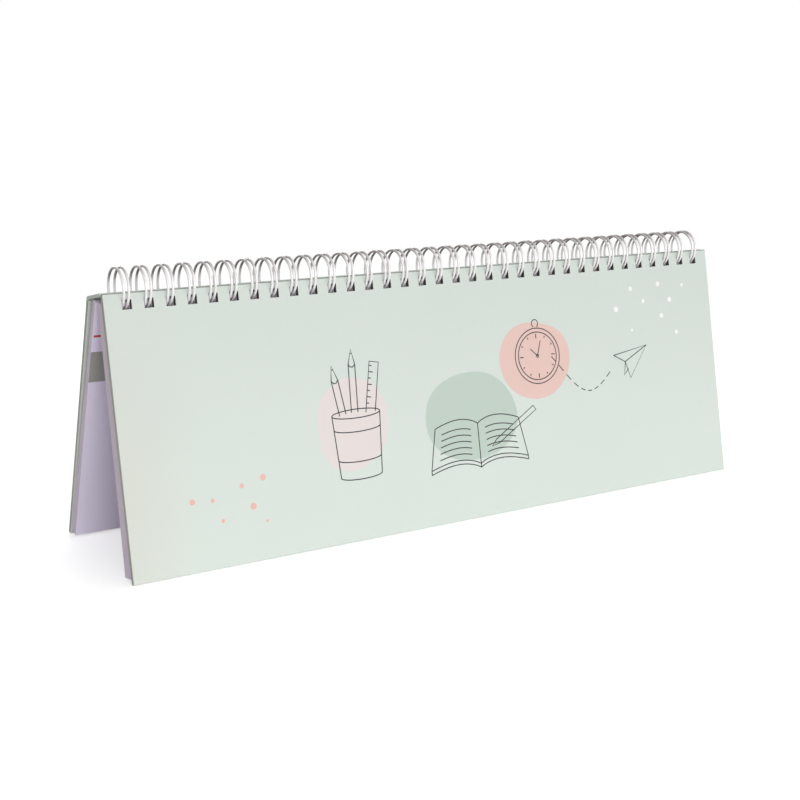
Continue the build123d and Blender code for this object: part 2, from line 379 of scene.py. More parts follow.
def mint_paper(name, leg, side_wear, top_wear=0.0, patches=()):
    """Matt laminated cover paper: a soft change from cream to mint, fine fibres, a painted shade towards the
    top, and handling grime with painted shade on the edges.
    """
    look = bpy.context.scene.calendar_cover
    pale_fibre, dull_fibre, bare_paper = (0.90, 0.93, 0.91), (0.45, 0.50, 0.46), (0.86, 0.86, 0.82)
    cream_end, upper_shade_end, drift = -108 * MM, 90 * MM, 12 * MM
    paint = Paint(name)
    place = paint.spot(leg)
    across, drop, depth = paint.split(place)
    clouds = paint.noise(place, 16)
    fibres = paint.noise(place, (900, 2400, 2400), 4.0, 0.65)
    pores = paint.noise(place, 5200)
    to_mint = (across + clouds * drift).step(-COVER_WIDTH / 2, cream_end)
    tint = paint.mix(to_mint, look.cream, look.mint)
    # Painted shade: darker towards the top edge, where less light falls.
    tint = paint.mix((1 - drop.step(0, upper_shade_end)) * 0.7, tint, look.dusk)
    tint = paint.mix((clouds * 0.5 + fibres * 0.5).step(0.35, 0.75) * 0.10, tint, pale_fibre)
    tint = paint.mix(fibres.step(0.58, 0.72) * 0.05, tint, dull_fibre)
    for centre, radii, opacity, shade in patches:
        wobble = paint.noise(place, 1 / (2.2 * radii[0]), 1.0) * 0.9 - 0.45
        reach = ((across - centre[0]) / radii[0]) ** 2 + ((drop - centre[1]) / radii[1]) ** 2 + wobble
        inside = (1 - reach.step(0.975, 1.025)) * (depth < COVER_FACE + WRAP / 2)
        tint = paint.mix(inside * opacity, tint, shade)
    side = COVER_WIDTH / 2 - abs(across)
    rubbed = (1 - side.step(0.1 * MM, 0.9 * MM)) * paint.noise(place, 420, 3.0).step(0.42, 0.7)
    tint = paint.mix(rubbed * 0.35, tint, bare_paper)
    # Side edges: handling grime together with painted shade on the side faces.
    tint = paint.mix((1 - side.step(0, 0.3 * MM)) * (side_wear + clouds * 0.3), tint, look.handled)
    # Painted shade on the top bevel: a dark line where the top edge lies in shadow.
    if top_wear:
        top_bevel_mask = 1 - (drop - COVER_TOP).step(0.25 * MM, 0.5 * MM)
        tint = paint.mix(top_bevel_mask * top_wear, tint, look.handled)
    return paint.finish(
        Base_Color=tint,
        Roughness=0.50 + fibres * 0.12 + rubbed * 0.15,
        Normal=paint.relief(fibres * 0.6 + pores * 0.4, 0.10, 0.05 * MM),
        Specular_IOR_Level=0.35,
        Coat_Weight=0.06,
        Coat_Roughness=0.45,
    )


def raw_board():
    """Grey board seen in the punched slots: pressed layers and short fibres."""
    look = bpy.context.scene.calendar_cover
    paint = Paint("raw_board")
    place = paint.spot(front_leg)
    layers = paint.noise(place, (500, 500, 6000), 3.0)
    flecks = paint.noise(place, 3000, 3.0, 0.7)
    tint = paint.mix(layers.step(0.3, 0.7), darker(look.board, 0.72), look.board)
    tint = paint.mix(flecks.step(0.6, 0.75) * 0.4, tint, darker(look.board, 1.5))
    relief = paint.relief(layers, 0.4, 0.1 * MM)
    return paint.finish(Base_Color=tint, Roughness=0.85 + flecks * 0.1, Normal=relief)


def plain_paper(name, shade, tooth=0.12):
    """White paper with a fibre tooth and faint clouds, with painted shade on its left and right edges."""
    look = bpy.context.scene.calendar_leaves
    edge_shade_band = 0.03 * MM
    paint = Paint(name)
    place = paint.spot()
    across, _, _ = paint.split(place)
    clouds = paint.noise(place, 45, 3.0)
    fibres = paint.noise(place, (1300, 2600, 2600), 4.0, 0.65)
    tint = paint.mix(clouds.step(0.3, 0.7) * 0.5, darker(shade, 0.965), shade)
    tint = paint.mix(fibres.step(0.6, 0.75) * 0.08, tint, darker(shade, 0.7))
    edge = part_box("front_leaf_01")[1].x - edge_shade_band
    # Painted shade on the left and right edges, where the stacked sheets shade one another.
    tint = paint.mix((abs(across) > edge) * 0.6, tint, look.cut)
    return paint.finish(
        Base_Color=tint,
        Roughness=0.72 + fibres * 0.12,
        Normal=paint.relief(fibres, tooth, 0.05 * MM),
        Specular_IOR_Level=0.3,
    )


def printed_ink(name, shade, dullness):
    """Thin print: slightly uneven cover, with a little of the paper's tooth."""
    paint = Paint(name)
    uneven = paint.noise(paint.spot(), 900, 3.0, 0.6)
    thinner = tuple(min(1, part + 0.05) for part in shade)
    return paint.finish(
        Base_Color=paint.mix(uneven.step(0.35, 0.75) * 0.35, shade, thinner),
        Roughness=dullness + uneven * 0.15,
        Normal=paint.relief(uneven, 0.08, 0.02 * MM),
        Specular_IOR_Level=0.35,
    )


def coated_wire():
    """Satin silver coating over the metal core, with painted shade over the loops' tops and painted dark
    reflection, darker and more metallic, inside them.
    """
    look = bpy.context.scene.calendar_wire
    paint = Paint("coated_wire")
    place = paint.spot(front_leg)
    _, drop, depth = paint.split(place)
    scuffs = paint.noise(place, 700, 3.0, 0.6)
    lines = paint.noise(place, (5200, 900, 900))
    # Inner sides of the loops, mostly near their tops: painted dark reflection and shade, made darker and
    # more metallic.
    outward = (drop * drop + depth * depth) ** 0.5 - RING_RADIUS
    inside = 1 - (outward + (scuffs - 0.5) * (0.5 * MM)).step(-0.4 * MM, 0.2 * MM)
    height = 0 - drop
    rubbed = inside * (height.step(2.5 * MM, 7 * MM) * 0.85 + 0.15)
    tint = paint.mix(scuffs.step(0.5, 0.8) * 0.3, look.silver, darker(look.silver, 0.85))
    # Painted shade over the loops' tops, where less light falls from above.
    tint = paint.mix(height.step(3 * MM, 8 * MM) * 0.62, tint, look.dulled)
    # Painted dark reflection inside the loops.
    tint = paint.mix(rubbed * 0.85, tint, look.steel)
    return paint.finish(
        Base_Color=tint,
        Metallic=0.10 + rubbed * 0.35,
        Roughness=0.24 + scuffs * 0.14 + rubbed * 0.12 + lines * 0.05,
        Normal=paint.relief(lines, 0.05, 0.02 * MM),
        Coat_Weight=0.2,
        Coat_Roughness=0.2,
    )


def dress(node, material):
    """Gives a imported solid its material."""
    slots = frame["nodes"][node].data.materials
    slots.clear()
    slots.append(material)


def linked(name, data):
    """A new object in the scene."""
    thing = bpy.data.objects.new(name, data)
    bpy.context.scene.collection.objects.link(thing)
    return thing


def placed(name, mesh, materials, body):
    """Links a finished mesh as a piece that rides on a body."""
    piece = linked(name, mesh)
    for material in materials:
        mesh.materials.append(material)
    if body:
        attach(piece, body)
    return piece


def mesh_from(name, shape):
    mesh = bpy.data.meshes.new(name)
    shape.to_mesh(mesh)
    shape.free()
    return mesh


def punched_slab(name, leg, along, through, slots, radius):
    """A wrapped board with rounded edges, on three axes: across, along and through.

    The walls of its slots take the second material.
    """
    rounding, sharp = 3, 0.1
    columns = [-COVER_WIDTH / 2, COVER_WIDTH / 2]
    rows = list(along)
    if slots:
        columns += [x + side * SLOT_WIDTH / 2 for x in loop_places for side in (-1, 1)]
        rows += slots
    columns.sort()
    rows.sort()
    shape = bmesh.new()
    grid = {
        (i, j, k): shape.verts.new((x, u, v))
        for i, x in enumerate(columns)
        for j, u in enumerate(rows)
        for k, v in enumerate(through)
    }
    last = (len(columns) - 2, len(rows) - 2)

    def within(i, j):
        return 0 <= i <= last[0] and 0 <= j <= last[1]

    def solid(i, j):
        return within(i, j) and not (slots and i % 2 == 1 and j == 1)

    def wall(other, first, second):
        if solid(*other):
            return
        face = shape.faces.new([grid[(*first, 0)], grid[(*second, 0)], grid[(*second, 1)], grid[(*first, 1)]])
        face.material_index = 1 if within(*other) else 0

    for i in range(last[0] + 1):
        for j in range(last[1] + 1):
            if not solid(i, j):
                continue
            ring = [(i, j), (i + 1, j), (i + 1, j + 1), (i, j + 1)]
            shape.faces.new([grid[(*corner, 1)] for corner in ring])
            shape.faces.new([grid[(*corner, 0)] for corner in reversed(ring)])
            beside = [(i, j - 1), (i + 1, j), (i, j + 1), (i - 1, j)]
            for side in range(4):
                wall(beside[side], ring[side], ring[(side + 1) % 4])
    bmesh.ops.recalc_face_normals(shape, faces=shape.faces)

    def on_rim(vert):
        at_side = abs(abs(vert.co.x) - COVER_WIDTH / 2) < SAME_PLACE
        return at_side or min(abs(vert.co.y - u) for u in along) < SAME_PLACE

    rim = [
        edge
        for edge in shape.edges
        if all(on_rim(vert) for vert in edge.verts) and edge.calc_face_angle(0) > sharp
    ]
    bmesh.ops.bevel(shape, geom=rim, offset=radius, segments=rounding, profile=0.5, affect="EDGES")
    shape.transform(leg)
    for vert in shape.verts:
        vert.co.z = max(vert.co.z, 0)
    return mesh_from(name, shape)


class CALENDAR_OT_front_cover(bpy.types.Operator):
    """Builds the hard front cover and lines it"""

    bl_idname = "calendar.front_cover"
    bl_label = "Front Cover"

    # Round patches of the print: across and drop of the middle, the two radii and the opacity
    patches = {
        "sage": ((6 * MM, 64 * MM), (23 * MM, 19 * MM), 0.85),
        "coral": ((41 * MM, 43 * MM), (19 * MM, 16 * MM), 0.75),
        "blush": ((-52 * MM, 60 * MM), (16 * MM, 18 * MM), 0.8),
    }
    # Weights of the grey on the side edges (handling grime and painted shade) and of the painted shade on the
    # top bevel.
    side_wear, top_wear = 0.5, 0.75

    def execute(self, context):
        look = context.scene.calendar_cover
        ink = context.scene.calendar_print
        patches = [(*patch, getattr(ink, shade)) for shade, patch in self.patches.items()]
        drops = (COVER_TOP, COVER_TOP + COVER_HEIGHT)
        depths = (COVER_FACE, COVER_FACE + CASE)
        mesh = punched_slab("front_case", front_leg, drops, depths, cover_slot, look.edge_radius)
        paper = mint_paper("front_paper", front_leg, self.side_wear, self.top_wear, patches)
        case = placed("front_case", mesh, [paper, raw_board()], "front_cover")
        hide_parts("front_wrap", "front_board")
        dress("front_liner", plain_paper("front_lining", look.lining))
        return {"FINISHED"}


class CALENDAR_OT_stand(bpy.types.Operator):
    """Builds the stand panel and lines it"""

    bl_idname = "calendar.stand"
    bl_label = "Stand Panel"

    # Weight of the grey on the side edges: handling grime and painted shade.
    side_wear = 0.55

    def execute(self, context):
        look = context.scene.calendar_cover
        depths = (LINER, LINER + CASE)
        mesh = punched_slab("stand_case", stand_leg, (0, STAND_HEIGHT), depths, None, look.edge_radius)
        paper = mint_paper("stand_paper", stand_leg, self.side_wear)
        case = placed("stand_case", mesh, [paper], "stand")
        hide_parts("stand_wrap", "stand_board")
        dress("stand_liner", plain_paper("stand_lining", look.lining))
        return {"FINISHED"}


class CALENDAR_OT_spine(bpy.types.Operator):
    """Builds the spine strip and the wrap that bends round the fold"""

    bl_idname = "calendar.spine"
    bl_label = "Spine and Fold"

    def fold_mesh(self):
        """The wrap round the fold, its two ends tucked just under the strip and the stand panel."""
        tuck = 1.2 * MM
        sink = 0.02 * MM
        steps = 20
        start = pi / 2
        outline = []
        for radius in (FOLD_RADIUS - sink, FOLD_RADIUS - WRAP):
            curve = [start + (fold_end - start) * k / steps for k in range(steps + 1)]
            bend = [Vector((radius * cos(a), radius * sin(a))) for a in curve]
            before = bend[0] + Vector((-tuck, 0))
            after = bend[-1] + tuck * Vector((sin(fold_end), -cos(fold_end)))
            outline.append([before, *bend, after])
        around = outline[0] + outline[1][::-1]
        count = len(around)
        shape = bmesh.new()
        ends = []
        for x in (-COVER_WIDTH / 2, COVER_WIDTH / 2):
            ends.append([shape.verts.new((x, fold_drop - p.y, fold_depth + p.x)) for p in around])
        for k, first in enumerate(ends[0]):
            follow = (k + 1) % count
            shape.faces.new([first, ends[0][follow], ends[1][follow], ends[1][k]])
        for loop in ends:
            for k in range(count // 2 - 1):
                shape.faces.new([loop[k], loop[k + 1], loop[count - 2 - k], loop[count - 1 - k]])
        bmesh.ops.recalc_face_normals(shape, faces=shape.faces)
        shape.transform(front_leg)
        for face in shape.faces:
            face.smooth = True
        mesh = mesh_from("fold_wrap", shape)
        mesh.set_sharp_from_angle(angle=radians(40))
        return mesh

    def execute(self, context):
        depths = (SPINE_FRONT, fold_depth)
        heights = (-SPINE_TOP - SPINE_THICKNESS, -SPINE_TOP)
        mesh = punched_slab("spine_strip", spine_leg, depths, heights, spine_slot, SPINE_EDGE_RADIUS)
        paper = mint_paper("spine_paper", front_leg, 0.0)
        strip = placed("spine_strip", mesh, [paper, raw_board()], "spine")
        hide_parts("spine_wrap", "spine_board", "spine_liner")
        fold = placed("fold_wrap", self.fold_mesh(), [paper], None)
        rise, reach = FOLD_RADIUS * sin(fold_end), FOLD_RADIUS * cos(fold_end)
        flank = front_leg @ Vector((0, fold_drop - rise, fold_depth + reach))
        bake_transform(fold)
        return {"FINISHED"}


class Tree(Nodes):
    """A geometry node tree with named inputs, from its geometry to its material."""

    def __init__(self, name, **inputs):
        super().__init__(bpy.data.node_groups.new(name, "GeometryNodeTree"))
        self.names = {}
        sockets = self.tree.interface
        sockets.new_socket("Geometry", in_out="OUTPUT", socket_type="NodeSocketGeometry")
        for label, kind in {"Geometry": "Geometry", **inputs, "Material": "Material"}.items():
            socket = sockets.new_socket(label, in_out="INPUT", socket_type="NodeSocket" + kind)
            self.names[label] = socket.identifier
        self.given = self.tree.nodes.new("NodeGroupInput")
        self.result = self.tree.nodes.new("NodeGroupOutput")

    def __getitem__(self, label):
        return Value(self, self.given.outputs[label])

    def end(self, geometry):
        """Realizes the result, gives it its material and hands it out."""
        real = self.add("GeometryNodeRealizeInstances", {}, {"Geometry": geometry})
        painted = {"Geometry": real, "Material": self["Material"]}
        self.fill(self.result, {"Geometry": self.add("GeometryNodeSetMaterial", {}, painted)})
        return self

    def grow(self, name, data, place, **values):
        """Runs the tree on a curve or mesh and returns a plain mesh, moved to its place."""
        host = linked(name + "_host", data)
        modifier = host.modifiers.new(name, "NODES")
        modifier.node_group = self.tree
        for label, value in values.items():
            modifier[self.names[label]] = value
        view = bpy.context.evaluated_depsgraph_get()
        mesh = bpy.data.meshes.new_from_object(host.evaluated_get(view))
        mesh.name = name
        host.modifiers.remove(modifier)
        bpy.data.objects.remove(host)
        mesh.transform(place)
        return mesh


def drawn_curve(name, strokes):
    """A curve of straight-run splines; each stroke is a list of points in three dimensions."""
    data = bpy.data.curves.new(name, "CURVE")
    data.dimensions = "3D"
    for points in strokes:
        spline = data.splines.new("POLY")
        spline.points.add(len(points) - 1)
        for point, place in zip(spline.points, points):
            point.co = (*place, 1)
    return data


def wire_tree():
    """A round wire that follows a path."""
    tree = Tree("Wire Along Path", Radius="Float", Sides="Int")
    sizes = {"Resolution": tree["Sides"], "Radius": tree["Radius"]}
    ring = tree.add("GeometryNodeCurvePrimitiveCircle", {"mode": "RADIUS"}, sizes)
    along = {"Curve": tree["Geometry"], "Profile Curve": ring, "Fill Caps": True}
    tube = tree.add("GeometryNodeCurveToMesh", {}, along)
    return tree.end(tree.add("GeometryNodeSetShadeSmooth", {}, {"Geometry": tube}))


def wire_path():
    """The wire's line: up one strand, round the hairpin, down the other and on to the next loop.

    The left strand is straight and the right one leans in towards the tip, inside the punched slots.
    """
    root_drop = SPINE_TOP + SPINE_THICKNESS + ROOT_CLEARANCE + WIRE_RADIUS
    root = acos(root_drop / hypot(RING_RADIUS, BEND_RADIUS)) + atan2(BEND_RADIUS, RING_RADIUS)
    facing = 2 * BEND_RADIUS + 2 * WIRE_RADIUS + SEAM_GAP
    tip = root - sqrt(facing**2 - (2 * BEND_RADIUS) ** 2) / RING_RADIUS + tau
    strand_steps, hairpin_steps, root_steps = 40, 10, 6

    def on_ring(x, angle, along=0.0):
        drop = RING_RADIUS * cos(angle) - along * sin(angle)
        depth = RING_RADIUS * sin(angle) + along * cos(angle)
        return (x, drop, depth)

    def bend(x, side, share):
        turn = share * pi / 2
        return on_ring(x + side * BEND_RADIUS * (1 - cos(turn)), root, -BEND_RADIUS * sin(turn))

    points = []
    shares = [s / strand_steps for s in range(strand_steps + 1)]
    turns = [pi * s / hairpin_steps for s in range(hairpin_steps)]
    tip_radius = TIP_SPACING / 2
    for k, place in enumerate(loop_places):
        left = place + WIRE_SHIFT - BEND_RADIUS
        right = left + ROOT_SPACING
        narrow = left + TIP_SPACING
        leaning = [right + (narrow - right) * (1 - s) ** TAPER for s in shares]
        if k > 0:
            points += [bend(left, -1, 1 - s / root_steps) for s in range(root_steps)]
        points += [on_ring(left, root + (tip - root) * s) for s in shares[:-1]]
        points += [on_ring(left + tip_radius * (1 - cos(a)), tip, tip_radius * sin(a)) for a in turns]
        points += [on_ring(x, tip + (root - tip) * s) for x, s in zip(leaning, shares)]
        if k + 1 < LOOP_COUNT:
            points += [bend(right, 1, (s + 1) / root_steps) for s in range(root_steps)]
    return points


class CALENDAR_OT_wire(bpy.types.Operator):
    """Winds the twin-loop binding wire"""

    bl_idname = "calendar.wire"
    bl_label = "Binding Wire"

    def execute(self, context):
        sides = context.scene.calendar_wire.sides
        silver = coated_wire()
        path = drawn_curve("wire_path", [wire_path()])
        mesh = wire_tree().grow(
            "binding_loops", path, front_leg, Radius=WIRE_RADIUS, Sides=sides, Material=silver
        )
        loops = placed("binding_loops", mesh, [], "spine")
        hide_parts("binding_wire")
        return {"FINISHED"}


def stroke_tree():
    """A flat line of ink that follows a drawn path."""
    tree = Tree("Ink Stroke", Width="Float", Height="Float")
    sizes = {"Width": tree["Width"], "Height": tree["Height"]}
    section = tree.add("GeometryNodeCurvePrimitiveQuadrilateral", {"mode": "RECTANGLE"}, sizes)
    upright = tree.add("GeometryNodeSetCurveNormal", {"mode": "Z_UP"}, {"Curve": tree["Geometry"]})
    along = {"Curve": upright, "Profile Curve": section, "Fill Caps": True}
    return tree.end(tree.add("GeometryNodeCurveToMesh", {}, along))


def dot_tree():
    """Flat round dots of differing size, scattered over a rectangle."""
    most_a_square_metre, dot_sides = 9000.0, 20
    tree = Tree(
        "Scattered Dots", Width="Float", Height="Float", Spacing="Float", Least="Float", Greatest="Float",
        Thickness="Float", Seed="Int",
    )
    seed = tree["Seed"]
    sizes = {"Size X": tree["Width"], "Size Y": tree["Height"], "Vertices X": 2, "Vertices Y": 2}
    area = tree.add("GeometryNodeMeshGrid", {}, sizes)
    spread = {"Distance Min": tree["Spacing"], "Density Max": most_a_square_metre}
    scatter = {"Mesh": area, **spread, "Seed": seed}
    points = tree.add("GeometryNodeDistributePointsOnFaces", {"distribute_method": "POISSON"}, scatter)
    disc_size = {"Vertices": dot_sides, "Radius": 1.0, "Depth": tree["Thickness"]}
    disc = tree.add("GeometryNodeMeshCylinder", {}, disc_size)
    limits = {2: tree["Least"], 3: tree["Greatest"], "Seed": seed}
    radius = tree.add("FunctionNodeRandomValue", {"data_type": "FLOAT"}, limits, 1)
    scale = tree.add("ShaderNodeCombineXYZ", {}, {"X": radius, "Y": radius, "Z": 1.0})
    dots = {"Points": points, "Instance": disc, "Scale": scale}
    return tree.end(tree.add("GeometryNodeInstanceOnPoints", {}, dots))


def grid_tree():
    """Thin rules that divide a rectangle into days."""
    tree = Tree(
        "Day Rules", Columns="Int", Rows="Int", Width="Float", Height="Float", Line="Float",
        Thickness="Float",
    )
    line, thickness = tree["Line"], tree["Thickness"]

    def rules(count, length, span, upright):
        sides = {"X": line, "Y": length} if upright else {"X": length, "Y": line}
        section = tree.add("ShaderNodeCombineXYZ", {}, {**sides, "Z": thickness})
        rule = tree.add("GeometryNodeMeshCube", {}, {"Size": section})
        along = "X" if upright else "Y"
        start = tree.add("ShaderNodeCombineXYZ", {}, {along: span * -0.5})
        end = tree.add("ShaderNodeCombineXYZ", {}, {along: span * 0.5})
        ends = {"Count": count + 1, "Start Location": start, "Offset": end}
        places = tree.add("GeometryNodeMeshLine", {"mode": "END_POINTS"}, ends)
        return tree.add("GeometryNodeInstanceOnPoints", {}, {"Points": places, "Instance": rule})

    uprights = rules(tree["Columns"], tree["Height"], tree["Width"], True)
    levels = rules(tree["Rows"], tree["Width"], tree["Height"], False)
    return tree.end(tree.add("GeometryNodeJoinGeometry", {}, {"Geometry": [uprights, levels]}))


def printing(leg, across, drop, depth):
    """A drawing plane on a sheet's front: x to the right, y up the sheet, z out of it."""
    return leg @ Matrix.Translation((across, drop, depth)) @ Matrix.Rotation(pi, 4, "X")


# The drawings are lists of strokes, in millimetres from the point that each is given


def arc(x, y, radius, start, end, steps=24, flat=1.0):
    """Points on a circle or a flattened circle, in degrees."""
    turns = [radians(start + (end - start) * k / steps) for k in range(steps + 1)]
    return [(x + radius * cos(a), y + flat * radius * sin(a)) for a in turns]


def pencil(x, y, length, lean):
    """A pencil standing up from (x, y): sides, collar and point."""
    width, wood, lead_length = 3.0, 6.0, 1.6
    along = Vector((sin(radians(lean)), cos(radians(lean))))
    side = Vector((along.y, -along.x)) * (width / 2)
    base = Vector((x, y))
    neck = base + along * (length - wood)
    tip = base + along * length
    lead = tip - along * lead_length
    strokes = [
        (base - side, neck - side, tip, neck + side, base + side),
        (neck - side, neck - side * 0.35 - along, neck + side * 0.35 - along, neck + side),
        (lead - side * 0.27, lead + side * 0.27),
    ]
    return [[tuple(point) for point in stroke] for stroke in strokes]


def pencil_pot(x, y):
    """A tapered pot with two pencils and a ruler."""
    rim, foot, flat = 11, 9.4, 0.16
    strokes = [arc(x, y + 26, rim, start, start + 180, flat=flat) for start in (180, 0)]
    strokes += [[(x + side * rim, y + 26), (x + side * foot, y + 1)] for side in (-1, 1)]
    for height, radius, gap in ((1.4, foot, 2), (8.5, 9.9, 4), (20.5, 10.7, 4)):
        strokes.append(arc(x, y + height, radius, 180 + gap, 360 - gap, flat=flat))
    strokes += pencil(x - 6, y + 26, 20, -9)
    strokes += pencil(x - 0.5, y + 26.5, 25, 2)
    strokes.append([(x + 4.6, y + 26), (x + 8.4, y + 46), (x + 12.6, y + 45.2), (x + 9, y + 26)])
    for k in range(7):
        start = Vector((x + 5.3, y + 29.6)) + Vector((0.47, 2.46)) * k
        reach = 1.9 if k % 2 else 1.2
        strokes.append([tuple(start), (start.x + reach, start.y - 0.2 * reach)])
    return strokes


def open_notebook(x, y):
    """An open notebook lying flat, with ruled pages and a pen across it."""
    half, back, bulge, narrowing, thick = 25.0, 17.0, 3.2, 0.14, 1.6
    steps, lines = 12, 5
    shares = [s / steps for s in range(steps + 1)]
    strokes = []
    for side in (-1, 1):
        near = [(x + side * half * s, y + bulge * sin(pi * s) ** 0.8 * (1 - 0.4 * s)) for s in shares]
        far = [(px * (1 - narrowing) + x * narrowing, py + back) for px, py in near]
        lower = [(px, py - thick) for px, py in near]
        strokes += [near, far, [near[-1], far[-1]], lower, [near[-1], lower[-1]]]
        for k in range(lines):
            share = (k + 1) / (lines + 1.5)
            drawn_in = narrowing * share
            strokes.append([(px * (1 - drawn_in) + x * drawn_in, py + back * share) for px, py in near[2:11]])
    strokes.append([(x, y - thick), (x, y + back)])
    level = y + 9
    pen = [(x + 9, level), (x + 30, level + 12), (x + 31.4, level + 10.2), (x + 10.6, level - 1.6)]
    strokes += [pen, [pen[0], (x + 6.6, level - 2.6), pen[3]]]
    return strokes


def hanging_clock(x, y):
    """A round clock with plain marks and two hands, hung from a ring."""
    radius, band = 12.0, 1.7
    strokes = [arc(x, y, radius, 0, 360, 48), arc(x, y, radius - band, 0, 360, 48)]
    for k in range(12):
        turn = radians(30 * k)
        inner = radius - (4.4 if k % 3 == 0 else 3.4)
        outer = radius - 2.5
        strokes.append([(x + r * sin(turn), y + r * cos(turn)) for r in (inner, outer)])
    strokes += [[(x, y), (x - 3.6, y + 3.3)], [(x, y), (x + 2.2, y + 6.4)]]
    strokes += [arc(x, y, 0.6, 0, 360, 12), arc(x, y + radius + 2.0, 1.7, -60, 240, 16)]
    return strokes


def paper_plane(x, y):
    """A folded paper plane with a dashed trail behind it."""
    nose, wing, tail, keel = (x + 20, y + 9), (x, y + 6), (x + 9, y - 5), (x + 6.6, y + 2.6)
    under = (x + 5.4, y - 3.4)
    strokes = [[wing, nose, tail, keel, wing], [keel, nose], [keel, under, (x + 8.1, y - 0.6)]]
    dashes = 9
    for k in range(dashes):
        shares = [(k + part) / dashes for part in (0.0, 0.3, 0.6)]
        strokes.append([(x - 3 - 34 * s, y - 1 - 9 * sin(pi * s * 1.25) + 5 * s) for s in shares])
    return strokes


class CALENDAR_OT_cover_print(bpy.types.Operator):
    """Prints thin desk drawings and scattered dots on the front cover"""

    bl_idname = "calendar.cover_print"
    bl_label = "Cover Print"

    # Fields of dots: colour, across and drop of the middle, width, height, spacing, step of the seed
    fields = {
        "white_dots": ("white", 112 * MM, 26 * MM, 56 * MM, 26 * MM, 8.5 * MM, 0),
        "coral_dots": ("coral", -114 * MM, 86 * MM, 44 * MM, 24 * MM, 7 * MM, 4),
    }
    line_dullness, dot_dullness = 0.45, 0.5

    def execute(self, context):
        look = context.scene.calendar_print
        face = COVER_FACE + INK_DEPTH
        drawings = pencil_pot(-50, -82) + open_notebook(8, -84)
        drawings += hanging_clock(43, -42) + paper_plane(86, -52)
        strokes = [[(px * MM, py * MM, 0) for px, py in points] for points in drawings]
        ink = printed_ink("cover_ink", look.ink, self.line_dullness)
        lines = stroke_tree().grow(
            "cover_drawing", drawn_curve("cover_drawing", strokes), printing(front_leg, 0, 0, face),
            Width=look.line_width, Height=INK_THICKNESS, Material=ink,
        )
        placed("cover_drawing", lines, [], "front_cover")
        dots = dot_tree()
        for name, (shade, across, drop, width, height, spacing, more) in self.fields.items():
            ink = printed_ink(name + "_ink", getattr(look, shade), self.dot_dullness)
            spread = dots.grow(
                name, bpy.data.meshes.new(name), printing(front_leg, across, drop, face), Width=width,
                Height=height, Spacing=spacing, Least=look.smallest_dot, Greatest=look.largest_dot,
                Thickness=INK_THICKNESS, Seed=look.seed + more, Material=ink,
            )
            placed(name, spread, [], "front_cover")
        return {"FINISHED"}


def flat_block(name, width, height, place):
    """A thin printed rectangle with softened corners, centred on its place."""
    corner = min(width, height) * 0.015
    right, top = width / 2 - corner, height / 2 - corner
    corners = [(right, top, 0), (-right, top, 90), (-right, -top, 180), (right, -top, 270)]
    points = [p for x, y, turn in corners for p in arc(x, y, corner, turn, turn + 90, 4)]
    shape = bmesh.new()
    lower = [shape.verts.new((*p, -INK_THICKNESS / 2)) for p in points]
    upper = [shape.verts.new((*p, INK_THICKNESS / 2)) for p in points]
    shape.faces.new(upper)
    shape.faces.new(lower[::-1])
    for k, vert in enumerate(lower):
        follow = (k + 1) % len(lower)
        shape.faces.new([vert, lower[follow], upper[follow], upper[k]])
    shape.transform(place)
    return mesh_from(name, shape)


def numbers(name, entries, height, place):
    """Day numbers as one mesh: each entry is the number and where its middle stands."""
    shape = bmesh.new()
    for number, x, y in entries:
        text = bpy.data.curves.new("number", "FONT")
        text.body = str(number)
        text.size = height
        text.extrude = INK_THICKNESS / 2
        text.align_x, text.align_y = "CENTER", "CENTER"
        host = linked("number_host", text)
        view = bpy.context.evaluated_depsgraph_get()
        mesh = bpy.data.meshes.new_from_object(host.evaluated_get(view))
        mesh.transform(Matrix.Translation((x, y, 0)))
        shape.from_mesh(mesh)
        bpy.data.objects.remove(host)
        bpy.data.meshes.remove(mesh)
    bmesh.ops.remove_doubles(shape, verts=shape.verts, dist=SAME_PLACE)
    shape.transform(place)
    return mesh_from(name, shape)


